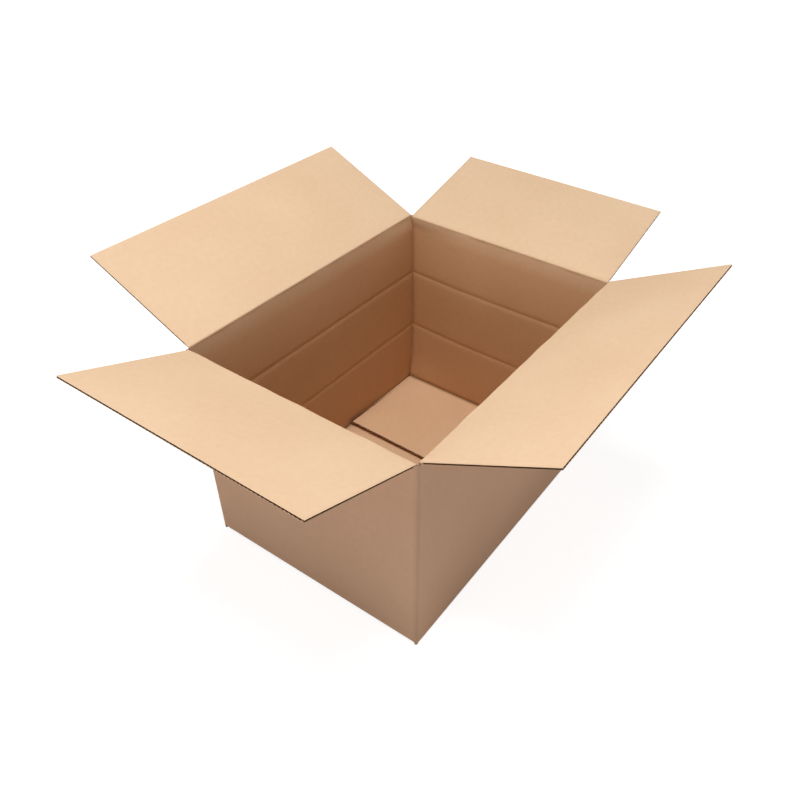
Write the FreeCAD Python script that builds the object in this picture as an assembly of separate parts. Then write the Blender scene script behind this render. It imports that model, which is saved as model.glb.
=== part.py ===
import FreeCAD, Part
import math
import os

# An open slotted carton of single-wall corrugated board, standing on its closed bottom.
# One blank is scored, slotted, folded round and glued at one corner. Its bottom flaps are
# folded in and held by a strip of tape, and its four top flaps stand open.
# The frame has its origin on the table under the middle of the carton, +X along the
# long side and +Z up. Sizes are in millimetres and angles in degrees.

# The inside of the carton, and the height of the crease that the long top flaps turn on.
inside_length = 600.0
inside_width = 450.0
rim_height = 420.0

# The board, the small radius inside its folds, and the air between two layers of it.
board_thickness = 3.0
inner_fold_radius = 0.8
stacking_clearance = 0.3

# The slots between neighbouring flaps, how far they run past the crease, and how much
# shorter a top flap is cut at each end than the wall panel that it hangs on.
slot_width = 6.0
slot_overcut = 0.5
flap_end_clearance = 0.3

# The gap where two long flaps meet over the middle of the closed carton.
seam_gap = 1.0

# The rim crease is crushed near the outer face, and the board is relieved on both sides of it.
crease_depth = 2.0
crease_clearance = 0.15
fold_back_limit = 70.0
relief_margin = 0.5

# How far each open top flap stands above level.
front_flap_angle = 27.2
rear_flap_angle = 24.3
left_flap_angle = 20.2
right_flap_angle = 14.4

# The two extra scores round the inside, where the carton can be cut down and folded lower.
lower_score_height = 150.0
upper_score_height = 285.0
score_depth = 0.9
score_width = 3.2

# The short bottom flaps lie on the long ones and spring up a little at their free edge.
bottom_flap_spring = 1.1

# The glue tab that closes the blank inside the left wall, with slanted ends.
glue_tab_width = 35.0
glue_tab_end_gap = 5.0
glue_tab_slant = 9.0
glue_joint_gap = 1.0

# The tape along the bottom seam.
tape_width = 50.0
tape_thickness = 0.1
tape_end_inset = 5.0

half_length = inside_length / 2
half_width = inside_width / 2
outer_fold_radius = inner_fold_radius + board_thickness
slot_beside_wall = (slot_width - board_thickness) / 2
long_flap_half_span = half_length - slot_beside_wall
short_flap_half_span = half_width - slot_beside_wall

# Short flaps lie under the long ones at the top and over them at the bottom,
# so their creases are set in by one layer of board.
layer_step = board_thickness + stacking_clearance
long_crease_height = rim_height
short_crease_height = rim_height - layer_step
long_bottom = tape_thickness
short_bottom = tape_thickness + layer_step
flap_depth = half_width + crease_depth - seam_gap / 2

# A folded-back flap and the wall below it meet when both reliefs close.
crease_cover = board_thickness - crease_depth
relief_angle = math.radians((90.0 - fold_back_limit) / 2 - relief_margin)
relief_length = crease_cover / math.tan(relief_angle)

UP = FreeCAD.Vector(0, 0, 1)
ALONG_X = FreeCAD.Vector(1, 0, 0)
ALONG_Y = FreeCAD.Vector(0, 1, 0)


def outline_face(place, start, steps):
    """A flat face from an outline in (u, v). A step is a point, or a point on an arc and its end."""
    edges = []
    here = start
    for step in steps:
        if len(step) == 2 and not isinstance(step[0], tuple):
            edges.append(Part.LineSegment(place(here), place(step)).toShape())
            here = step
        else:
            middle, end = step
            edges.append(Part.Arc(place(here), place(middle), place(end)).toShape())
            here = end
    return Part.Face(Part.Wire(edges))


def polar(centre, radius, angle):
    """The point at an angle, in degrees, on a circle in (u, v)."""
    turn = math.radians(angle)
    return (centre[0] + radius * math.cos(turn), centre[1] + radius * math.sin(turn))


def panel(out, along, half_span, inner_distance, crease_height, bottom, spring):
    """A wall with its bottom flap: one strip of board, relieved at the rim and folded in below."""
    outer_distance = inner_distance + board_thickness
    crease = (inner_distance + crease_depth, crease_height - crease_clearance)
    fold = (inner_distance - inner_fold_radius, bottom + outer_fold_radius)
    down = -90.0 - spring
    reach = flap_depth - crease_depth - inner_fold_radius
    lean = math.radians(spring)
    flap_run = (-reach * math.cos(lean), reach * math.sin(lean))
    outer_turn = polar(fold, outer_fold_radius, down)
    inner_turn = polar(fold, inner_fold_radius, down)
    outer_tip = (outer_turn[0] + flap_run[0], outer_turn[1] + flap_run[1])
    inner_tip = (inner_turn[0] + flap_run[0], inner_turn[1] + flap_run[1])

    def place(point):
        return out * point[0] + UP * point[1] - along * half_span

    section = outline_face(place, crease, [
        (outer_distance, crease[1] - relief_length),
        (outer_distance, fold[1]),
        (polar(fold, outer_fold_radius, down / 2), outer_turn),
        outer_tip,
        inner_tip,
        inner_turn,
        (polar(fold, inner_fold_radius, down / 2), (inner_distance, fold[1])),
        (inner_distance, crease[1] - crease_depth),
        crease,
    ])
    return section.extrude(along * (2 * half_span))


def top_flap(out, along, half_span, inner_distance, crease_height, angle):
    """An open top flap, with its root bevelled to fold in square and to fold back."""
    flap_half_span = half_span - flap_end_clearance
    turn = math.radians(angle)
    run = out * math.cos(turn) + UP * math.sin(turn)
    inner_side = out * -math.sin(turn) + UP * math.cos(turn)
    crease = out * (inner_distance + crease_depth) + UP * crease_height

    def place(point):
        return crease + run * point[0] + inner_side * point[1] - along * flap_half_span

    section = outline_face(place, (crease_clearance, 0.0), [
        (crease_clearance + crease_depth, crease_depth),
        (flap_depth, crease_depth),
        (flap_depth, -crease_cover),
        (crease_clearance + relief_length, -crease_cover),
        (crease_clearance, 0.0),
    ])
    return section.extrude(along * (2 * flap_half_span))


def corner_post(x_sign, y_sign):
    """The board bent round a vertical fold between two panels."""
    low = long_bottom + inner_fold_radius
    high = short_crease_height - slot_overcut
    fold = (half_length - inner_fold_radius, half_width - inner_fold_radius)

    def place(point):
        return FreeCAD.Vector(x_sign * point[0], y_sign * point[1], low)

    section = outline_face(place, (long_flap_half_span, half_width + board_thickness), [
        (fold[0], half_width + board_thickness),
        (polar(fold, outer_fold_radius, 45), (half_length + board_thickness, fold[1])),
        (half_length + board_thickness, short_flap_half_span),
        (half_length, short_flap_half_span),
        (half_length, fold[1]),
        (polar(fold, inner_fold_radius, 45), (fold[0], half_width)),
        (long_flap_half_span, half_width),
        (long_flap_half_span, half_width + board_thickness),
    ])
    return section.extrude(UP * (high - low))


def glued_corner():
    """The rear wall turns in behind the left wall as a glue tab, and the left wall's cut edge covers it."""
    low = long_bottom + inner_fold_radius
    high = short_crease_height - slot_overcut
    turn = slot_beside_wall
    fold = (-long_flap_half_span, half_width + board_thickness - turn)
    tab_face = -half_length + board_thickness

    def place(point):
        return FreeCAD.Vector(point[0], point[1], low)

    bend = outline_face(place, (-long_flap_half_span, half_width + board_thickness), [
        (polar(fold, turn, 135), (-half_length, fold[1])),
        (-half_length, short_flap_half_span),
        (tab_face, short_flap_half_span),
        (tab_face, half_width),
        (-long_flap_half_span, half_width),
        (-long_flap_half_span, half_width + board_thickness),
    ]).extrude(UP * (high - low))
    cut_edge = Part.makeBox(
        board_thickness,
        half_width + board_thickness - glue_joint_gap - short_flap_half_span,
        high - low,
        FreeCAD.Vector(-half_length - board_thickness, short_flap_half_span, low),
    )
    tab_low = short_bottom + board_thickness + glue_tab_end_gap
    tab_high = short_crease_height - crease_depth - glue_tab_end_gap
    tab_end = half_width - glue_tab_width
    tab_side = [
        FreeCAD.Vector(-half_length, half_width, tab_low),
        FreeCAD.Vector(-half_length, tab_end, tab_low + glue_tab_slant),
        FreeCAD.Vector(-half_length, tab_end, tab_high - glue_tab_slant),
        FreeCAD.Vector(-half_length, half_width, tab_high),
        FreeCAD.Vector(-half_length, half_width, tab_low),
    ]
    tab = Part.Face(Part.makePolygon(tab_side)).extrude(ALONG_X * board_thickness)
    return bend.fuse([cut_edge, tab])


def score_groove(out, along, start, end, face_distance, height):
    """A vee pressed into an inner face, from start to end along the wall."""
    half = score_width / 2

    def place(point):
        return out * point[0] + UP * point[1] + along * start

    section = outline_face(place, (face_distance, height - half), [
        (face_distance + score_depth, height),
        (face_distance, height + half),
        (face_distance - score_depth, height),
        (face_distance, height - half),
    ])
    return section.extrude(along * (end - start))


def score_ring(height):
    """The groove round the four inner faces and across the glue tab at one height."""
    tab_end = half_width - glue_tab_width
    tab_distance = half_length - board_thickness
    return [
        score_groove(ALONG_Y, ALONG_X, -tab_distance, half_length, half_width, height),
        score_groove(ALONG_Y * -1, ALONG_X, -half_length, half_length, half_width, height),
        score_groove(ALONG_X, ALONG_Y, -half_width, half_width, half_length, height),
        score_groove(ALONG_X * -1, ALONG_Y, -half_width, tab_end, half_length, height),
        score_groove(ALONG_X * -1, ALONG_Y, tab_end, half_width, tab_distance, height),
    ]


def carton_body():
    """The four walls, the folded bottom flaps, the glued corner and the two scores, as one solid."""
    short_sides = [
        panel(sign, ALONG_Y, short_flap_half_span, half_length, short_crease_height,
              short_bottom, bottom_flap_spring)
        for sign in (ALONG_X, ALONG_X * -1)
    ]
    long_sides = [
        panel(sign, ALONG_X, long_flap_half_span, half_width, long_crease_height,
              long_bottom, 0.0)
        for sign in (ALONG_Y, ALONG_Y * -1)
    ]
    corners = [corner_post(1, 1), corner_post(1, -1), corner_post(-1, -1), glued_corner()]
    shell = short_sides[0].fuse(short_sides[1:] + long_sides + corners)
    scores = score_ring(lower_score_height) + score_ring(upper_score_height)
    return shell.cut(scores).removeSplitter()


def bottom_tape():
    """A strip under the seam where the long bottom flaps meet."""
    tape_half_length = long_flap_half_span - tape_end_inset
    return Part.makeBox(
        2 * tape_half_length, tape_width, tape_thickness,
        FreeCAD.Vector(-tape_half_length, -tape_width / 2, 0),
    )


def long_flap(out, angle):
    """One of the two long top flaps."""
    return top_flap(out, ALONG_X, long_flap_half_span, half_width, long_crease_height, angle)


def short_flap(out, angle):
    """One of the two short top flaps, which close under the long ones."""
    return top_flap(out, ALONG_Y, short_flap_half_span, half_length, short_crease_height, angle)


pieces = {
    "carton_body": carton_body(),
    "bottom_tape": bottom_tape(),
    "front_flap": long_flap(ALONG_Y * -1, front_flap_angle),
    "rear_flap": long_flap(ALONG_Y, rear_flap_angle),
    "left_flap": short_flap(ALONG_X * -1, left_flap_angle),
    "right_flap": short_flap(ALONG_X, right_flap_angle),
}

os.makedirs("parts", exist_ok=True)
for name, shape in pieces.items():
    solid = shape.Solids[0]
    box = solid.BoundBox
    print(f"{name}: {len(shape.Solids)} solid, valid {solid.isValid()}, "
          f"{solid.Volume / 1000:.1f} cm3, "
          f"x {box.XMin:.1f} to {box.XMax:.1f}, y {box.YMin:.1f} to {box.YMax:.1f}, "
          f"z {box.ZMin:.1f} to {box.ZMax:.1f}")
    solid.exportStep(f"parts/{name}.step")
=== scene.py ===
# %% [markdown]
# # An open cardboard box
#
# The real thing is one blank of single-wall corrugated board: two kraft liners with a fluted
# paper between them. It is scored and slotted flat, folded round and glued at one corner.
# The flat blank is modelled here in the same way: flat sheets are cut, scored and then folded,
# so every fold, slot and cut edge is where the real one has it.
#
# The CAD model is the fixed frame. Its box is kept.

# %% Load the frame
import math
from collections import namedtuple

import bmesh
import bpy
from mathutils import Matrix, Vector


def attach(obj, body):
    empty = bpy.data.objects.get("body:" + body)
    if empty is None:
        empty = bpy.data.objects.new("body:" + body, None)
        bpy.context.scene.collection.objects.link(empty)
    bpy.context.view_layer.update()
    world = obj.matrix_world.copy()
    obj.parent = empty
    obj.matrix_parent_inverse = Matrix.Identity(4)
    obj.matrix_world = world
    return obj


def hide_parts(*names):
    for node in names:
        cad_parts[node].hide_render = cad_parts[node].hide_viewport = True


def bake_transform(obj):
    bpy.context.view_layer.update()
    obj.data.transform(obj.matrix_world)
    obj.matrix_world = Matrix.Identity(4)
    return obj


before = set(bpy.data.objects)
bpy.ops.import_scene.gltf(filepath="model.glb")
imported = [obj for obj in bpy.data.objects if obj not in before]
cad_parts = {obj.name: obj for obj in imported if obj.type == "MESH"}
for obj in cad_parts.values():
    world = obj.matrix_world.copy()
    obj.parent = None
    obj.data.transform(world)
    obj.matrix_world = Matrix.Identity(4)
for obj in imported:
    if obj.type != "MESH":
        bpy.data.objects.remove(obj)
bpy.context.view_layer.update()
print("CAD nodes:", ", ".join(sorted(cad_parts)))

# %% [markdown]
# ## The camera
#
# The box in the photo stands turned by 57 degrees and is seen from 40 degrees above. Both were
# solved from its straight edges. A lens shift keeps the perspective of the photo,
# where the vanishing lines meet a little beside the middle of the picture. Aiming the camera
# at the box with a Track To constraint would be quicker, but it can't give that roll and shift.

# %% Camera
MM = 0.001
FRAME_PIXELS = 800
focal_pixels = 778.848
centre_pixel = (440.102, 418.389)
azimuth, elevation, roll = (math.radians(a) for a in (-56.721, 40.212, 1.982))

back = Vector((math.sin(azimuth) * math.cos(elevation),
               -math.cos(azimuth) * math.cos(elevation),
               math.sin(elevation)))
right = Vector((math.cos(azimuth), math.sin(azimuth), 0))
up = back.cross(right)
camera_right = right * math.cos(roll) + up * math.sin(roll)
camera_up = up * math.cos(roll) - right * math.sin(roll)

camera_data = bpy.data.cameras.new("photo_camera")
camera_data.sensor_width = 36
camera_data.lens = focal_pixels / FRAME_PIXELS * camera_data.sensor_width
camera_data.shift_x = (FRAME_PIXELS / 2 - centre_pixel[0]) / FRAME_PIXELS
camera_data.shift_y = (centre_pixel[1] - FRAME_PIXELS / 2) / FRAME_PIXELS
camera_data.clip_end = 50
camera = bpy.data.objects.new("photo_camera", camera_data)
turn = Matrix((camera_right, camera_up, back)).transposed().to_4x4()
camera.matrix_world = Matrix.Translation(Vector((-920.605, -665.338, 1144.251)) * MM) @ turn
bpy.context.scene.collection.objects.link(camera)
bpy.context.scene.camera = camera
print(f"camera: lens {camera_data.lens:.2f} mm, {camera.location.length:.2f} m from the box")

# %% [markdown]
# ## Colours and nodes
#
# Colours are written as sRGB hex values, as in a paint program. The shader works in linear
# light, so one function turns them. One more function adds a node with its settings and links,
# which keeps each material short enough to read.

# %% Colour and node helpers
def paint(hex_value):
    """An sRGB hex colour as linear red, green, blue and alpha."""
    channels = [int(hex_value[i:i + 2], 16) / 255 for i in (0, 2, 4)]
    linear = [c / 12.92 if c <= 0.04045 else ((c + 0.055) / 1.055) ** 2.4 for c in channels]
    return (*linear, 1.0)


def add_node(tree, kind, settings=None, **inputs):
    """Adds a node. An input is a value, or a socket of another node to link from.

    An input goes by its name, or by its number where names repeat, such as i0.
    """
    node = tree.nodes.new(kind)
    for name, value in (settings or {}).items():
        setattr(node, name, value)
    for name, value in inputs.items():
        key = int(name[1:]) if name[1:].isdigit() else name.replace("_", " ")
        socket = node.inputs[key]
        if isinstance(value, bpy.types.NodeSocket):
            tree.links.new(value, socket)
        else:
            socket.default_value = value
    return node


def new_material(name):
    """A new material with its node tree and its shader."""
    material = bpy.data.materials.new(name)
    material.use_nodes = True
    return material, material.node_tree, material.node_tree.nodes["Principled BSDF"]


def multiply(tree, factor, first, second):
    """Darkens the first colour by the second, as much as the factor says."""
    return add_node(tree, "ShaderNodeMix", {"data_type": "RGBA", "blend_type": "MULTIPLY"},
                    i0=factor, i6=first, i7=second).outputs[2]


def colour_ramp(tree, factor, stops):
    """A colour ramp with these (position, colour) stops."""
    ramp = add_node(tree, "ShaderNodeValToRGB", Fac=factor)
    elements = ramp.color_ramp.elements
    while len(elements) < len(stops):
        elements.new(0.5)
    for element, (position, colour) in zip(elements, stops):
        element.position = position
        element.color = colour
    return ramp.outputs["Color"]


print("kraft brown in linear light:", [round(c, 3) for c in paint("D9B48C")])

# %% [markdown]
# ## Fluting paper
#
# The wavy middle is a thinner, darker paper made from recycled fibre. It only shows in the cut
# edges, where it sits in its own shadow and makes the edge look dark brown. Its brown here is
# darker than the paper itself: painted shade for the deep gaps at the cut edges.

# %% Fluting material
def fluting_paper():
    """Recycled fluting paper: darker, rougher and duller than the liner, its brown darkened further
    as painted shade.
    """
    material, tree, shader = new_material("fluting_paper")
    blank = add_node(tree, "ShaderNodeUVMap", {"uv_map": "flat_blank"}).outputs["UV"]
    grain = add_node(tree, "ShaderNodeTexNoise", Vector=blank, Scale=700, Detail=3)
    # Partly the paper's own darker brown, partly painted shade for the shadowed cut edges.
    brown = colour_ramp(tree, grain.outputs["Fac"],
                        [(0.3, paint("523823")), (0.7, paint("6B4B30"))])
    tree.links.new(brown, shader.inputs["Base Color"])
    shader.inputs["Roughness"].default_value = 0.92
    shader.inputs["Specular IOR Level"].default_value = 0.2
    return material


fluting_with_painted_shade = fluting_paper()
print("material:", fluting_with_painted_shade.name)

# %% [markdown]
# ## Sizes of the carton
#
# These are the driving sizes of the CAD source, in millimetres. The two extra scores, 135 and
# 270 mm below the rim, are where a packer can cut the corners down and fold the carton lower.

# %% Sizes
inside_length = 600.0
inside_width = 450.0
rim_height = 420.0
board_thickness = 3.0
inner_fold_radius = 0.8
stacking_clearance = 0.3
slot_width = 6.0
flap_end_clearance = 0.3
seam_gap = 1.0
crease_depth = 2.0
flap_angles = {"front": 27.2, "rear": 24.3, "left": 20.2, "right": 14.4}
score_heights = (150.0, 285.0)
bottom_flap_spring = 1.1
glue_tab_width = 35.0
glue_tab_end_gap = 5.0
glue_tab_slant = 9.0
glue_joint_gap = 1.0
tape_thickness = 0.1

half_length = inside_length / 2
half_width = inside_width / 2
slot_beside_wall = (slot_width - board_thickness) / 2
long_half_span = half_length - slot_beside_wall
short_half_span = half_width - slot_beside_wall
layer_step = board_thickness + stacking_clearance
short_rim_height = rim_height - layer_step
long_bottom = tape_thickness
short_bottom = tape_thickness + layer_step
flap_depth = half_width + crease_depth - seam_gap / 2
print(f"flaps are {flap_depth} mm deep, walls {rim_height:.0f} and {short_rim_height:.1f} mm high")

# %% [markdown]
# ## Flat sheets
#
# A liner is 0.3 mm of paper. The fluting is a sine wave that just touches both liners. Each
# sheet starts as one grid that stands upright: X runs round the carton, Z is up, and Y is the
# depth from the inner face (0) to the outer face (3). Bisect cuts the rows and columns that the
# folds and scores need, so the grid is fine only there. A Subdivide of the whole sheet would
# need far more faces for the same folds.

# %% Sheet helpers
LINER = 0.3
MEDIUM = 0.25
FOLD_LENGTH = (inner_fold_radius + board_thickness / 2) * math.pi / 2
ACROSS, UP, OUT = Vector((1, 0, 0)), Vector((0, 0, 1)), Vector((0, 1, 0))


def upright_grid(x_low, x_high, z_low, z_high, columns, rows=1):
    """A grid in the XZ plane, facing outwards (+Y)."""
    sheet = bmesh.new()
    bmesh.ops.create_grid(sheet, x_segments=columns, y_segments=rows, size=0.5)
    bmesh.ops.rotate(sheet, verts=sheet.verts[:], matrix=Matrix.Rotation(-math.pi / 2, 3, "X"))
    bmesh.ops.scale(sheet, verts=sheet.verts[:], vec=(x_high - x_low, 1, z_high - z_low))
    bmesh.ops.translate(sheet, verts=sheet.verts[:],
                        vec=((x_low + x_high) / 2, 0, (z_low + z_high) / 2))
    return sheet


def cut_lines(sheet, direction, places):
    """Cuts a line across the sheet at each place along a direction."""
    for place in places:
        parts = sheet.verts[:] + sheet.edges[:] + sheet.faces[:]
        bmesh.ops.bisect_plane(sheet, geom=parts, dist=0.0005,
                               plane_co=direction * place, plane_no=direction)


def drop_faces(sheet, unwanted):
    """Deletes the faces whose middle is in an unwanted place."""
    doomed = [f for f in sheet.faces if unwanted(f.calc_center_median())]
    bmesh.ops.delete(sheet, geom=doomed, context="FACES")


def keep_flat_place(sheet, across=0.0, height=0.0):
    """Stores the place of each corner on the flat blank as a UV map, in metres."""
    layer = sheet.loops.layers.uv.new("flat_blank")
    for face in sheet.faces:
        for loop in face.loops:
            place = loop.vert.co
            loop[layer].uv = ((place.x + across) * MM, (place.z + height) * MM)


def thicken(sheet, thickness):
    """Gives the sheet its thickness, inwards from the side that it faces."""
    bmesh.ops.solidify(sheet, geom=sheet.faces[:], thickness=thickness)


def bend(verts, start, past, inside, angle, length=FOLD_LENGTH, radius=inner_fold_radius):
    """Bends what lies past a fold line: over an arc of this length, then straight on."""
    centre = start + inside * radius
    axis = past.cross(inside)
    full_turn = Matrix.Rotation(angle, 3, axis)
    for vert in verts:
        along = (vert.co - start).dot(past)
        if along > 0:
            run = min(along, length)
            part_turn = full_turn if run == length else Matrix.Rotation(
                angle * run / length, 3, axis)
            vert.co = centre + part_turn @ (vert.co - past * run - centre)


def spread(low, high, count):
    """Evenly spaced places from low to high, both included."""
    return [low + (high - low) * i / count for i in range(count + 1)]


SHARP_FROM = math.radians(35)


def into_object(sheet, name, materials):
    """Turns a finished bmesh in millimetres into an object in metres."""
    bmesh.ops.scale(sheet, verts=sheet.verts[:], vec=(MM, MM, MM))
    for face in sheet.faces:
        face.smooth = True
    mesh = bpy.data.meshes.new(name)
    sheet.to_mesh(mesh)
    sheet.free()
    mesh.set_sharp_from_angle(angle=SHARP_FROM)
    for material in materials:
        mesh.materials.append(material)
    piece = bpy.data.objects.new(name, mesh)
    bpy.context.scene.collection.objects.link(piece)
    print(f"{name}: {len(mesh.polygons)} faces")
    return piece


print(f"a fold takes {FOLD_LENGTH:.2f} mm of the board's inner face")

# %% [markdown]
# ## The blank on paper
#
# The rear wall already stands in its place, from x -296 to 299. The glue tab is left of it. The
# right, front and left walls follow to its right, each past a fold. The fold line of each
# corner is a short strip, as long as the middle of the board once it is bent round.

# %% Places on the blank
tab_fold = -half_length + board_thickness + inner_fold_radius
rear_run = (tab_fold, half_length - inner_fold_radius)
right_start = rear_run[1] + FOLD_LENGTH
right_run = (right_start, right_start + inside_width - 2 * inner_fold_radius)
front_start = right_run[1] + FOLD_LENGTH
front_run = (front_start, front_start + inside_length - 2 * inner_fold_radius)
left_start = front_run[1] + FOLD_LENGTH
left_run = (left_start, left_start + inside_width - inner_fold_radius
            + board_thickness - glue_joint_gap)
tab_end = tab_fold - FOLD_LENGTH - (glue_tab_width - inner_fold_radius)

Panel = namedtuple("Panel", "middle half_span bottom rim")
panels = {
    "rear": Panel(0.0, long_half_span, long_bottom, rim_height),
    "right": Panel(right_run[0] + half_width - inner_fold_radius, short_half_span,
                   short_bottom, short_rim_height),
    "front": Panel(front_run[0] + half_length - inner_fold_radius, long_half_span,
                   long_bottom, rim_height),
    "left": Panel(left_run[0] + half_width - inner_fold_radius, short_half_span,
                  short_bottom, short_rim_height),
}
corner_folds = [rear_run[1], right_run[1], front_run[1]]
CREASE_HALF = 6.2
POST_LOW = long_bottom + inner_fold_radius
POST_HIGH = short_rim_height + 2.0
BOTTOM_RUN = flap_depth - crease_depth - inner_fold_radius
print(f"blank: {left_run[1] - tab_end:.0f} mm round")


def fold_height(bottom):
    """The height at which a wall starts to turn in to its bottom flap."""
    return bottom + inner_fold_radius + board_thickness


def free_edge(bottom):
    """The place of a bottom flap's free edge on the flat blank."""
    return fold_height(bottom) - FOLD_LENGTH - BOTTOM_RUN


# %% [markdown]
# ## Kraft liner
#
# The faces of the board are unbleached kraft paper: long brown wood fibres, pressed and dried
# on the paper machine and left uncoated. To the eye it is matt, with a faint cloudy mottle
# where fibres bunch up (about 10 mm), short fibre flecks along the machine direction, and a very
# slight washboard, because the paper sinks between the glued crests of the flutes (6.4 mm).
# The patterns follow the flat blank through its UV map, in metres, so they run round the folds
# as they do on the real sheet. Over each corner fold the paper is a little darker: painted
# shade on the bend. The inner liner's tone by height is painted light and shade: the top flaps
# and the floor of the box are painted paler as painted light, the inside of the walls darker as
# painted shade, lightening towards the rim, and the crushed fold at the foot of a wall darkest,
# a painted shadow in that crease.

# %% Kraft liner material
FLUTE_PITCH = 6.4
TONE_LOW, TONE_HIGH = -250, 650


FOLD_SHADE_REACH = 1


def fold_shade_stops():
    """Stops of a ramp round the carton that paints shade over each corner fold."""
    stops = []
    for fold in corner_folds:
        for place, tone in ((fold - FOLD_SHADE_REACH, "FFFFFF"),
                            (fold + FOLD_LENGTH / 2, "EFEBE8"),
                            (fold + FOLD_LENGTH + FOLD_SHADE_REACH, "FFFFFF")):
            stops.append(((place - tab_end) / (left_run[1] - tab_end), paint(tone)))
    return stops


def kraft_liner(name, tones):
    """Unbleached kraft paper: fibre flecks, cloudy mottle, faint washboard, painted light and shade
    by height and on the folds.
    """
    material, tree, shader = new_material(name)
    blank = add_node(tree, "ShaderNodeUVMap", {"uv_map": "flat_blank"}).outputs["UV"]

    cloud = add_node(tree, "ShaderNodeTexNoise", Vector=blank, Scale=90, Detail=3, Roughness=0.6)
    fibre_scale = add_node(tree, "ShaderNodeMapping", Vector=blank)
    fibre_scale.inputs["Scale"].default_value = (500, 2600, 1)
    fibres = add_node(tree, "ShaderNodeTexNoise", Vector=fibre_scale.outputs["Vector"],
                      Scale=1.0, Detail=4, Roughness=0.65)
    drift = add_node(tree, "ShaderNodeTexNoise", Vector=blank, Scale=5, Detail=2)

    place = add_node(tree, "ShaderNodeSeparateXYZ", Vector=blank)
    # The ramp by height paints light and shade where its stops say so: for the inner liner, paler
    # flaps and floor, darker walls and a painted shadow in the fold at the foot.
    height = add_node(tree, "ShaderNodeMapRange", Value=place.outputs["Y"],
                      From_Min=TONE_LOW * MM, From_Max=TONE_HIGH * MM)
    brown = colour_ramp(tree, height.outputs["Result"],
                        [((level - TONE_LOW) / (TONE_HIGH - TONE_LOW), paint(tone))
                         for level, tone in tones])
    bunched = colour_ramp(tree, cloud.outputs["Fac"],
                          [(0.3, paint("FBF9F7")), (0.7, paint("FFFFFF"))])
    mottle = multiply(tree, 1.0, brown, bunched)
    fleck = colour_ramp(tree, fibres.outputs["Fac"],
                        [(0.28, paint("B98F66")), (0.42, paint("FFFFFF"))])
    flecked = multiply(tree, 0.25, mottle, fleck)
    shade = colour_ramp(tree, drift.outputs["Fac"],
                        [(0.35, paint("FAF7F4")), (0.65, paint("FFFFFF"))])
    drifting = multiply(tree, 0.8, flecked, shade)
    # The ramp round the carton paints shade over each corner fold.
    run = add_node(tree, "ShaderNodeMapRange", Value=place.outputs["X"],
                   From_Min=tab_end * MM, From_Max=left_run[1] * MM)
    painted_fold_shade = colour_ramp(tree, run.outputs["Result"], fold_shade_stops())
    board = multiply(tree, 1.0, drifting, painted_fold_shade)
    tree.links.new(board, shader.inputs["Base Color"])

    phase = add_node(tree, "ShaderNodeMath", {"operation": "MULTIPLY"},
                     i0=place.outputs["X"], i1=2 * math.pi / (FLUTE_PITCH * MM))
    wave = add_node(tree, "ShaderNodeMath", {"operation": "SINE"}, i0=phase.outputs[0])
    washboard = add_node(tree, "ShaderNodeBump", Strength=0.25, Distance=0.00006,
                         Height=wave.outputs[0])
    tooth = add_node(tree, "ShaderNodeBump", Strength=0.5, Distance=0.00003,
                     Height=fibres.outputs["Fac"], Normal=washboard.outputs["Normal"])
    tree.links.new(tooth.outputs["Normal"], shader.inputs["Normal"])
    shader.inputs["Roughness"].default_value = 0.82
    shader.inputs["Specular IOR Level"].default_value = 0.25
    return material


# Painted light and shade: pale floor (-3) and top flaps (424) as painted light, darker walls
# lightening towards the rim, and a painted shadow in the fold at the foot of a wall (4).
inner_kraft_with_painted_light = kraft_liner("kraft_liner_inside_painted_light", [
    (-3, "D6B08B"), (4, "8A6746"), (11, "C4976D"), (250, "C6996F"), (380, "CEA47D"),
    (424, "E0C1A0")])
outer_kraft = kraft_liner("kraft_liner_outside", [(0, "DBB394"), (420, "DBB394")])
print("materials:", inner_kraft_with_painted_light.name, outer_kraft.name)

# %% [markdown]
# ## Cutting the blank
#
# Slots part the flaps, and their cut runs up beside the fold, so each flap can turn in while
# the corner stays upright. The real slots are cut by a rotary knife in the same way.

# %% Slots and trims
TOUCHING = 0.01


def panel_at(x):
    """The panel that a place on the blank lies in, or None at a corner."""
    for name, panel in panels.items():
        if abs(x - panel.middle) < panel.half_span:
            return name
    return None


def cut_away(place):
    """Whether a place on the flat sheet is waste: slots, tab ends and what is past an edge."""
    name = panel_at(place.x)
    if name:
        panel = panels[name]
        return place.z < free_edge(panel.bottom) or place.z > panel.rim - CREASE_HALF
    if place.x < tab_fold - FOLD_LENGTH:
        along = (tab_fold - FOLD_LENGTH - place.x) / (glue_tab_width - inner_fold_radius)
        low = short_bottom + board_thickness + glue_tab_end_gap + glue_tab_slant * along
        high = (short_rim_height - crease_depth - glue_tab_end_gap - glue_tab_slant * along)
        return not low < place.z < high
    return not POST_LOW < place.z < POST_HIGH


def slot_sides():
    """The places across the blank where a flap ends beside a slot."""
    return [panel.middle + side * panel.half_span for panel in panels.values()
            for side in (-1, 1)]


def free_the_flaps(sheet):
    """Parts each bottom flap from the corner beside it, up to where the flap's bend starts."""
    cuts = []
    for panel in panels.values():
        for edge in sheet.edges:
            low, high = sorted((vert.co for vert in edge.verts), key=lambda place: place.z)
            upright = abs(low.x - high.x) < TOUCHING
            beside_slot = abs(abs(low.x - panel.middle) - panel.half_span) < TOUCHING
            if upright and beside_slot and high.z < fold_height(panel.bottom) + TOUCHING:
                cuts.append(edge)
    bmesh.ops.split_edges(sheet, edges=cuts)


print(f"{len(slot_sides())} flap sides beside slots")

# %% [markdown]
# ## Pressing and folding
#
# A score is a bead pressed into the board from the inside, so the inner face sinks and the
# fluting is crushed, while the outer face stays nearly flat. Large panels are never quite flat
# either: the board dries with a slight bow, which fades out at its folds. In the photo the foot
# of the right wall and the line of the rear right corner lie a few millimetres off a perfect
# carton, and the free edge of the right bottom flap stands up at one end. The amounts here are
# chosen so that these lines fall where the photo has them.

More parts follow.
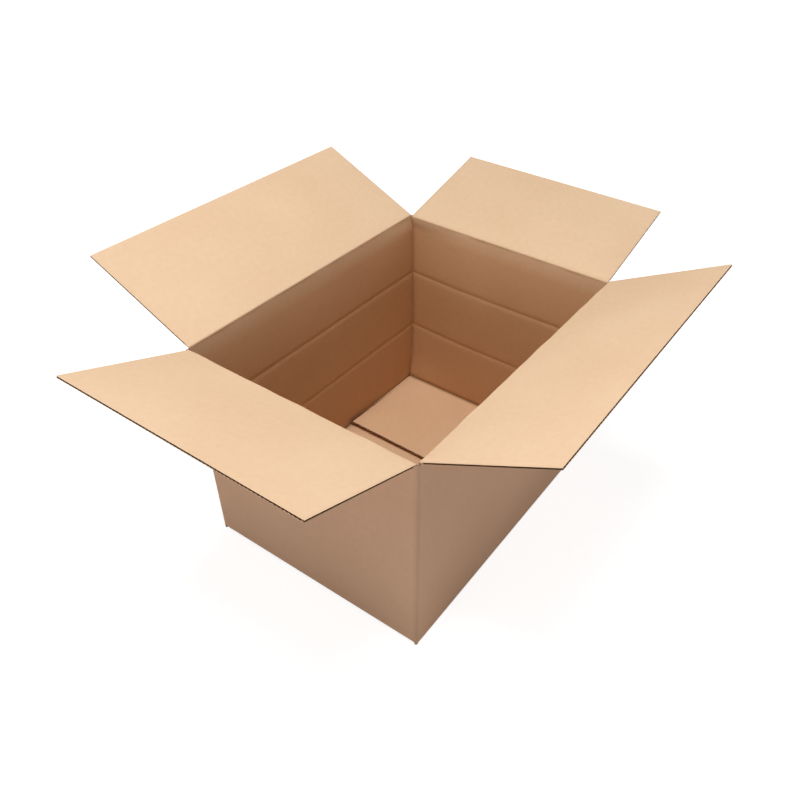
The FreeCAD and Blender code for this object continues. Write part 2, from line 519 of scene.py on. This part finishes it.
# %% Scores, bows and folds
score_depth = 1.2
score_reach = 12
curls = {"right": (4.0, -2.6), "left": (0.6, 0.4)}
corner_crush = 1.4
slot_crush = 2.1
slot_crush_reach = 8
bottom_flap_trim = 2.4
foot_lean = 5.5
corner_push = Vector((3.6, -2.3, 0))
corner_push_reach = 150
corner_push_from, corner_push_full = 10, 70
below_rim_none, below_rim_full = 6, 34
foot_lean_from, foot_lean_full = -100, 60
bottom_crush = 0.9
bows = {"rear": 1.0, "right": 3.5, "front": 0.8, "left": 1.5}
shoulder_height = 26
shoulder_depth = 0.8


def bump_at(place, middle, reach):
    """A smooth bump of height 1 that is gone at this reach from its middle."""
    away = min(abs(place - middle) / reach, 1)
    return 0.5 + 0.5 * math.cos(math.pi * away)


def crush_folds(verts):
    """Presses the board thinner from the inside along its fold lines."""
    fold_lines = corner_folds + [tab_fold - FOLD_LENGTH]
    for vert in verts:
        name = panel_at(vert.co.x)
        if name:
            level = fold_height(panels[name].bottom) - FOLD_LENGTH / 2
            crush = bottom_crush * bump_at(vert.co.z, level, FOLD_LENGTH)
        else:
            crush = max(corner_crush * bump_at(vert.co.x, fold + FOLD_LENGTH / 2, FOLD_LENGTH)
                        for fold in fold_lines)
            crush = max(crush, slot_crush * bump_at(vert.co.z, POST_HIGH, slot_crush_reach))
        vert.co.y += crush * (1 - vert.co.y / board_thickness)


def press_scores(verts, heights):
    """Sinks the inner side of the board along the scores, deepest under the bead."""
    for vert in verts:
        for height in heights:
            away = abs(vert.co.z - height) / score_reach
            if away < 1:
                vert.co.y += score_depth * (1 - away) ** 2 * (1 - vert.co.y / board_thickness)


def bow_walls(verts):
    """Bulges each wall a little between its folds, in for a positive bow."""
    for vert in verts:
        name = panel_at(vert.co.x)
        if name:
            panel = panels[name]
            base, top = fold_height(panel.bottom), panel.rim - CREASE_HALF
            if base < vert.co.z < top:
                side = math.cos((vert.co.x - panel.middle) / panel.half_span * math.pi / 2)
                rise = math.sin((vert.co.z - base) / (top - base) * math.pi)
                below_rim = min((top - vert.co.z) / shoulder_height, 1)
                shoulder = math.sin(below_rim * math.pi / 2) * min(3 * side, 1) * min(2 * rise, 1)
                vert.co.y -= bows[name] * side * rise + shoulder_depth * shoulder


def shape_bottom_flaps(verts):
    """Trims the sides of the short bottom flaps, and lifts one end of the free edge more."""
    for vert in verts:
        name = panel_at(vert.co.x)
        if name in curls:
            panel = panels[name]
            out_along = (fold_height(panel.bottom) - FOLD_LENGTH - vert.co.z) / BOTTOM_RUN
            if out_along > 0:
                lift, twist = curls[name]
                across = (vert.co.x - panel.middle) / panel.half_span
                vert.co.y -= (lift + twist * across) * out_along ** 2
                vert.co.x -= across * bottom_flap_trim


def fold_blank(sheet):
    """Folds the bottom flaps in, then the walls round, and brings the inner face to its place."""
    quarter = math.pi / 2
    past_fold = {fold: [v for v in sheet.verts if v.co.x > fold] for fold in corner_folds}
    tab = [v for v in sheet.verts if v.co.x < tab_fold]
    for panel in panels.values():
        spring = math.radians(bottom_flap_spring) if panel.bottom == short_bottom else 0.0
        fold_line = fold_height(panel.bottom)
        flap = [v for v in sheet.verts if v.co.z < fold_line
                and abs(v.co.x - panel.middle) < panel.half_span + TOUCHING
                and any(panel_at(f.calc_center_median().x) for f in v.link_faces)]
        bend(flap, UP * fold_line, -UP, -OUT, quarter + spring)

    start, past, inside = ACROSS * corner_folds[0], ACROSS, -OUT
    corner_turn = Matrix.Rotation(quarter, 3, past.cross(inside))
    for fold, following in zip(corner_folds, corner_folds[1:] + [corner_folds[-1]]):
        bend(past_fold[fold], start, past, inside, quarter)
        centre = start + inside * inner_fold_radius
        past, inside = corner_turn @ past, corner_turn @ inside
        start = centre - inside * inner_fold_radius + past * (following - fold - FOLD_LENGTH)
    bend(tab, ACROSS * tab_fold, -ACROSS, -OUT, quarter)
    bmesh.ops.translate(sheet, verts=sheet.verts[:], vec=OUT * half_width)


def ease(value, low, high):
    """Goes smoothly from 0 at low to 1 at high."""
    share = min(max((value - low) / (high - low), 0), 1)
    return share * share * (3 - 2 * share)


def settle(verts):
    """Leans the foot of the right wall in, and bends the rear right corner towards the inside."""
    corner = Vector((half_length, half_width))
    for vert in verts:
        x, y, z = vert.co
        near = bump_at((Vector((x, y)) - corner).length, 0, corner_push_reach)
        above_floor = ease(z, corner_push_from, corner_push_full)
        below_rim = ease(rim_height - z, below_rim_none, below_rim_full)
        below_score = max(1 - z / score_heights[0], 0)
        vert.co += corner_push * near * above_floor * below_rim
        vert.co.x -= foot_lean * ease(x, foot_lean_from, foot_lean_full) * below_score


print("walls bow by", bows, "mm")

# %% [markdown]
# ## The folded carton
#
# Three sheets make the carton: inner liner, fluting, outer liner. All three go through the same
# cuts and the same folds, as they do in the factory.

# %% Carton sheets
LINER_COLUMNS = 160
fold_steps = 8
bottom_flap_steps = 8
score_steps = 20
shoulder_steps = 6
blank_rows = [POST_LOW, POST_HIGH]
for level in (long_bottom, short_bottom):
    blank_rows += spread(free_edge(level), fold_height(level) - FOLD_LENGTH, bottom_flap_steps)
    blank_rows += spread(fold_height(level) - FOLD_LENGTH, fold_height(level), fold_steps)
blank_rows += [rim_height - CREASE_HALF, short_rim_height - CREASE_HALF]
for height in score_heights:
    blank_rows += spread(height - score_reach, height + score_reach, score_steps)
plain_rows = [15, 20, 30, 40, 50, 60, 80, 110, 180, 205, 230, 255, 315, 335, 355, 375]
blank_rows += plain_rows
wall_top = rim_height - CREASE_HALF
blank_rows += spread(wall_top - shoulder_height, wall_top, shoulder_steps)
blank_rows = sorted(set(round(row, 4) for row in blank_rows))

blank_columns = slot_sides()
for fold in corner_folds:
    blank_columns += spread(fold, fold + FOLD_LENGTH, fold_steps)
blank_columns += spread(tab_fold - FOLD_LENGTH, tab_fold, fold_steps)
print(f"{len(blank_rows)} rows and {len(blank_columns)} extra columns")


def cut_blank(start, end, columns, rows):
    """The flat blank from start to end as one thin sheet, cut to shape."""
    sheet = upright_grid(start, end, free_edge(long_bottom), POST_HIGH, columns)
    cut_lines(sheet, ACROSS, blank_columns)
    cut_lines(sheet, UP, rows)
    drop_faces(sheet, cut_away)
    free_the_flaps(sheet)
    keep_flat_place(sheet)
    return sheet


def finish_carton_sheet(sheet, name, material):
    """Scores, bows and folds a sheet of the carton, and makes it ride with the walls."""
    crush_folds(sheet.verts)
    press_scores(sheet.verts, score_heights)
    bow_walls(sheet.verts)
    shape_bottom_flaps(sheet.verts)
    fold_blank(sheet)
    settle(sheet.verts)
    piece = into_object(sheet, name, [material])
    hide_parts("carton_body")
    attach(piece, "carton")


for name, depth, paper in (("carton_inner_liner", LINER, inner_kraft_with_painted_light),
                           ("carton_outer_liner", board_thickness, outer_kraft)):
    liner = cut_blank(tab_end, left_run[1], LINER_COLUMNS, blank_rows)
    bmesh.ops.translate(liner, verts=liner.verts[:], vec=OUT * depth)
    thicken(liner, LINER)
    finish_carton_sheet(liner, name, paper)

# %% [markdown]
# ## The fluting
#
# The fluting is a sine wave across the blank, with its waves running up the walls and out along
# the flaps. A wave needs only six faces, because nobody sees more of it than its cut end. The
# fluting is one piece for each wall, parted at the corner folds, where nobody can see the joint.

# %% Fluting of the carton
WAVE_HEIGHT = (board_thickness - 2 * LINER - MEDIUM) / 2
FACES_A_FLUTE = 6


def flute_sheet(sheet, middle=0.0):
    """Waves a flat sheet between the two liners and gives it the thickness of its paper."""
    for vert in sheet.verts:
        wave = math.sin(2 * math.pi * (vert.co.x + middle) / FLUTE_PITCH)
        vert.co.y = board_thickness / 2 + MEDIUM / 2 + WAVE_HEIGHT * wave
    thicken(sheet, MEDIUM)


fluting_flap_steps = 4
fluting_fold_steps = 3
fluting_score_steps = 6
fluting_shoulder_steps = 3
fluting_rows = [POST_LOW, POST_HIGH, rim_height - CREASE_HALF, short_rim_height - CREASE_HALF]
for level in (long_bottom, short_bottom):
    fluting_rows += spread(free_edge(level), fold_height(level) - FOLD_LENGTH, fluting_flap_steps)
    fluting_rows += spread(fold_height(level) - FOLD_LENGTH, fold_height(level),
                           fluting_fold_steps)
for height in score_heights:
    fluting_rows += spread(height - score_reach, height + score_reach, fluting_score_steps)
fluting_rows += plain_rows
fluting_rows += spread(wall_top - shoulder_height, wall_top, fluting_shoulder_steps)
fluting_ends = [tab_end] + corner_folds + [left_run[1]]
for side, start, end in zip(panels, fluting_ends, fluting_ends[1:]):
    faces = round((end - start) / FLUTE_PITCH) * FACES_A_FLUTE
    fluting = cut_blank(start, end, faces, fluting_rows)
    flute_sheet(fluting)
    finish_carton_sheet(fluting, side + "_fluting", fluting_with_painted_shade)

# %% [markdown]
# ## Top flaps
#
# Each top flap is the same board, past the crease of the rim. It is built as the rear flap,
# standing straight up, then turned out about its crease by its own angle, and last turned
# round to its wall. Its three layers are one piece with two materials.

# %% Top flaps
WALL_TURNS = {"rear": 0, "right": -90, "front": 180, "left": 90}
FLAP_COLUMNS, FLAP_ROWS, FLAP_FLUTING_ROWS = 40, 14, 6


def wall_distance(side):
    """How far the inner face of a wall is from the middle."""
    return half_width if side in ("rear", "front") else half_length


def stand_on_wall(sheet, side):
    """Brings a piece that was built at the origin as part of the rear wall to its own wall."""
    bmesh.ops.translate(sheet, verts=sheet.verts[:], vec=OUT * wall_distance(side))
    bmesh.ops.rotate(sheet, verts=sheet.verts[:],
                     matrix=Matrix.Rotation(math.radians(WALL_TURNS[side]), 3, "Z"))


def join_sheets(sheets):
    """Puts several sheets into one, as loose parts. Each keeps the material number of its faces."""
    joined = bmesh.new()
    for sheet in sheets:
        mesh = bpy.data.meshes.new("layer")
        sheet.to_mesh(mesh)
        sheet.free()
        joined.from_mesh(mesh)
        bpy.data.meshes.remove(mesh)
    return joined


def flap_layers(side):
    """The three layers of a top flap, standing straight up."""
    middle, rim = panels[side].middle, panels[side].rim
    half = panels[side].half_span - flap_end_clearance
    low, high = rim + CREASE_HALF, rim + flap_depth
    layers = []
    for number, depth in enumerate((LINER, board_thickness)):
        liner = upright_grid(-half, half, low, high, FLAP_COLUMNS, FLAP_ROWS)
        keep_flat_place(liner, middle)
        bmesh.ops.translate(liner, verts=liner.verts[:], vec=OUT * depth)
        thicken(liner, LINER)
        for face in liner.faces:
            face.material_index = number
        layers.append(liner)
    core = upright_grid(-half, half, low, high,
                        round(2 * half / FLUTE_PITCH) * FACES_A_FLUTE, FLAP_FLUTING_ROWS)
    keep_flat_place(core, middle)
    flute_sheet(core, middle)
    for face in core.faces:
        face.material_index = 2
    return layers + [core]


def open_flap(sheet, side):
    """Turns a flap out about its crease to the angle that it stands at."""
    crease = OUT * crease_depth + UP * panels[side].rim
    bmesh.ops.rotate(sheet, verts=sheet.verts[:], cent=crease,
                     matrix=Matrix.Rotation(-math.radians(90 - flap_angles[side]), 3, "X"))


for side in panels:
    flap = join_sheets(flap_layers(side))
    open_flap(flap, side)
    stand_on_wall(flap, side)
    piece = into_object(flap, side + "_flap_board", [inner_kraft_with_painted_light, outer_kraft, fluting_with_painted_shade])
    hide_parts(side + "_flap")
    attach(piece, side + "_top_flap")

# %% [markdown]
# ## Rim creases
#
# Between wall and flap the board is crushed along a line, so that it folds there. The crushed
# strip goes over the bend on the inner side and is pinched on the outer side, with small
# pleats where the flutes collapsed. Each strip is bent once, from the wall to its flap at rest.

# %% Creases
PINCHED = 0.35
ROLL_HALF = 2.15
SHOULDER = 4.2
PLEAT_DEPTH = 0.09
FACES_A_PLEAT = 4
WANDER = 0.22


def unevenness(place):
    """How far a crushed crease wanders in and out along its length, in millimetres."""
    return WANDER * (math.sin(place / 11) + math.sin(place / 17 + 1.3) + math.sin(place / 29))


def crease_strip(side):
    """The crushed strip of board that joins a wall to its top flap."""
    middle, rim = panels[side].middle, panels[side].rim
    half = panels[side].half_span - flap_end_clearance
    columns = round(2 * half / FLUTE_PITCH) * FACES_A_PLEAT
    sheet = upright_grid(-half, half, -CREASE_HALF, CREASE_HALF, columns)
    cut_lines(sheet, UP, [-SHOULDER, SHOULDER] + spread(-ROLL_HALF, ROLL_HALF, fold_steps))
    bmesh.ops.translate(sheet, verts=sheet.verts[:], vec=OUT * board_thickness)
    keep_flat_place(sheet, middle, rim)
    thicken(sheet, board_thickness)
    for face in sheet.faces:
        face.material_index = int(face.calc_center_median().y > board_thickness / 2)
    turn = -math.radians(90 - flap_angles[side])
    pivot = OUT * crease_depth
    for vert in sheet.verts:
        near = 1 - abs(vert.co.z) / CREASE_HALF
        pleat = math.sin(2 * math.pi * (vert.co.x + middle) / FLUTE_PITCH)
        if vert.co.y > board_thickness / 2:
            vert.co.y -= (board_thickness - crease_depth - PINCHED) * near
        else:
            vert.co.y += (PLEAT_DEPTH * pleat + unevenness(vert.co.x + middle)) * near
        share = min(max((vert.co.z + ROLL_HALF) / (2 * ROLL_HALF), 0), 1)
        vert.co = pivot + Matrix.Rotation(turn * share, 3, "X") @ (vert.co - pivot)
    bmesh.ops.translate(sheet, verts=sheet.verts[:], vec=UP * rim)
    stand_on_wall(sheet, side)
    settle(sheet.verts)
    return sheet


for side, panel in panels.items():
    piece = into_object(crease_strip(side), side + "_rim_crease", [inner_kraft_with_painted_light, outer_kraft])
    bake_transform(piece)

# %% [markdown]
# ## Bottom tape
#
# The seam of the bottom flaps is closed with gummed paper tape: kraft paper with a coat of dried
# glue that is wetted and pressed on. The CAD strip already has its true shape, so it keeps it
# and only gets its paper: browner, smoother and with a little more sheen than the board, with
# faint streaks along its length from the brush that spread the glue. The streaks use Object
# coordinates, because the strip is a plain CAD mesh without a UV map.

# %% Tape
def gummed_paper():
    """Brown gummed paper tape, slightly smoother than the board, streaked along its length."""
    material, tree, shader = new_material("gummed_paper_tape")
    place = add_node(tree, "ShaderNodeTexCoord").outputs["Object"]
    stretch = add_node(tree, "ShaderNodeMapping", Vector=place)
    stretch.inputs["Scale"].default_value = (30, 900, 30)
    streaks = add_node(tree, "ShaderNodeTexNoise", Vector=stretch.outputs["Vector"],
                       Scale=1.0, Detail=3)
    brown = colour_ramp(tree, streaks.outputs["Fac"],
                        [(0.3, paint("B98F64")), (0.7, paint("C49A6E"))])
    tree.links.new(brown, shader.inputs["Base Color"])
    ripple = add_node(tree, "ShaderNodeBump", Strength=0.3, Distance=0.00004,
                      Height=streaks.outputs["Fac"])
    tree.links.new(ripple.outputs["Normal"], shader.inputs["Normal"])
    shader.inputs["Roughness"].default_value = 0.5
    return material


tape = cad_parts["bottom_tape"]
tape.data.materials.clear()
tape.data.materials.append(gummed_paper())
print("tape:", len(tape.data.polygons), "faces")

# %% [markdown]
# ## Floor, light and background
#
# The photo shows the box on plain white in soft light, brightest on what faces up.
# Here the floor and a faint world look white to the camera, and also in anything shiny or
# clear, but throw back less light on the box. Near the box the floor glows less, so that the
# shadow shows on it. Farther out it glows a little more, as a lit backdrop does.

# %% Stage
def seen_or_mirrored(tree):
    """A value that is 1 for what the camera sees, also in a shiny or clear thing, and else 0."""
    rays = add_node(tree, "ShaderNodeLightPath").outputs
    mirrored = add_node(tree, "ShaderNodeMath", {"operation": "MAXIMUM"},
                        i0=rays["Is Glossy Ray"], i1=rays["Is Transmission Ray"])
    return add_node(tree, "ShaderNodeMath", {"operation": "MAXIMUM"},
                    i0=rays["Is Camera Ray"], i1=mirrored.outputs[0]).outputs[0]


def studio_floor():
    """A floor that is white to the camera and a little darker to the light that it throws back."""
    material = bpy.data.materials.new("studio_floor")
    material.use_nodes = True
    tree = material.node_tree
    tree.nodes.clear()
    dull = add_node(tree, "ShaderNodeBsdfDiffuse", Color=(0.78, 0.78, 0.78, 1))
    pale = add_node(tree, "ShaderNodeBsdfDiffuse", Color=(0.42, 0.42, 0.42, 1))
    place = add_node(tree, "ShaderNodeTexCoord").outputs["Object"]
    away = add_node(tree, "ShaderNodeVectorMath", {"operation": "LENGTH"}, i0=place)
    level = add_node(tree, "ShaderNodeMapRange", Value=away.outputs["Value"],
                     From_Min=0.6, From_Max=1.8, To_Min=0.86, To_Max=1.0)
    glow = add_node(tree, "ShaderNodeEmission", Color=(1, 1, 1, 1),
                    Strength=level.outputs["Result"])
    bright = add_node(tree, "ShaderNodeAddShader", i0=pale.outputs[0], i1=glow.outputs[0])
    mix = add_node(tree, "ShaderNodeMixShader", i0=seen_or_mirrored(tree), i1=dull.outputs[0],
                   i2=bright.outputs[0])
    add_node(tree, "ShaderNodeOutputMaterial", Surface=mix.outputs[0])
    return material


FLOOR_HALF = 12
floor_sheet = bmesh.new()
bmesh.ops.create_grid(floor_sheet, x_segments=1, y_segments=1, size=FLOOR_HALF)
floor_mesh = bpy.data.meshes.new("floor")
floor_sheet.to_mesh(floor_mesh)
floor_sheet.free()
floor = bpy.data.objects.new("floor", floor_mesh)
floor.data.materials.append(studio_floor())
bpy.context.scene.collection.objects.link(floor)
print(f"floor: {2 * FLOOR_HALF} m wide")

# %% [markdown]
# ## Lights
#
# A square soft box hangs above the left half of the box, because the flaps in the photo are
# brightest towards the left. Two wide, low ones, to the left and in front, light the outer
# walls. Places, powers and paper tones were set together, by comparing colours with the photo.

# %% Lights
def soft_light(name, place, aim, width, height, power):
    """A rectangular soft box that points at a place."""
    data = bpy.data.lights.new(name, "AREA")
    data.shape = "RECTANGLE"
    data.size = width
    data.size_y = height
    data.energy = power
    light = bpy.data.objects.new(name, data)
    light.location = place
    light.rotation_euler = (Vector(aim) - Vector(place)).to_track_quat("-Z", "Y").to_euler()
    bpy.context.scene.collection.objects.link(light)


soft_light("overhead_softbox", (-0.4, -0.1, 2.5), (-0.33, -0.07, 0), 1.0, 1.0, 48)
soft_light("left_softbox", (-2.3, 0.7, 0.7), (-0.3, 0, 0.25), 1.4, 1.0, 11)
soft_light("front_softbox", (0.9, -2.4, 0.7), (0.1, -0.2, 0.25), 1.4, 1.0, 10)

world = bpy.data.worlds.new("studio")
world.use_nodes = True
bpy.context.scene.world = world
sky = world.node_tree
sky.nodes.clear()
fill = add_node(sky, "ShaderNodeBackground", Color=(1, 1, 1, 1), Strength=0.15)
white = add_node(sky, "ShaderNodeBackground", Color=(1, 1, 1, 1), Strength=1.0)
backdrop = add_node(sky, "ShaderNodeMixShader", i0=seen_or_mirrored(sky), i1=fill.outputs[0],
                    i2=white.outputs[0])
add_node(sky, "ShaderNodeOutputWorld", Surface=backdrop.outputs[0])
print("lights:", len(bpy.data.lights))

bpy.context.scene.view_settings.view_transform = "Standard"
